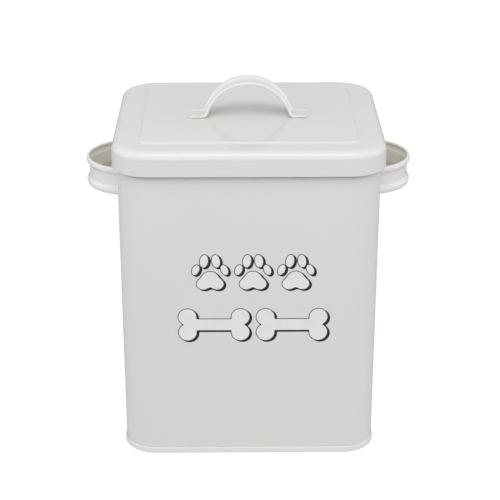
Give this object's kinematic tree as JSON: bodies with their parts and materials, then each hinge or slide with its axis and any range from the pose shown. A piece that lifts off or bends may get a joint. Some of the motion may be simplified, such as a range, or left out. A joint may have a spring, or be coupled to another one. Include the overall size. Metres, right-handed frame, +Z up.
{
  "type": "pet food bin",
  "caption": "Rounded-rectangular painted steel bin with a lift-off lid, an arched strap handle on top and a looped strap handle on each side.",
  "frame": {"origin": "centre of the base footprint, on the floor", "axes": "+Z up; -Y is the printed front of the bin; +X is to the right as seen from the front, through the right handle"},
  "size_m": [0.3384, 0.236, 0.3769],
  "materials": {
    "body_paint": "semi-gloss powder coat, warm off-white",
    "lid_paint": "semi-gloss powder coat, warm off-white",
    "handle_paint": "semi-gloss powder coat, warm off-white",
    "weld_paint": "spot welds under the same powder coat",
    "print_line": "matt black screen print",
    "print_fill": "satin pale grey screen print"
  },
  "bodies": {
    "bin": {"body_wall": "body_paint", "base_pan": "body_paint", "left_handle": "handle_paint", "left_handle_welds": "weld_paint", "right_handle": "handle_paint", "right_handle_welds": "weld_paint"},
    "lid": {"lid_shell": "lid_paint", "lid_handle": "handle_paint", "lid_handle_welds": "weld_paint"}
  },
  "joints": [
    {"name": "lid_lift", "type": "slide", "parent": "bin", "child": "lid", "axis": [0, 0, 1], "range_m": [0, 0.1]}
  ]
}
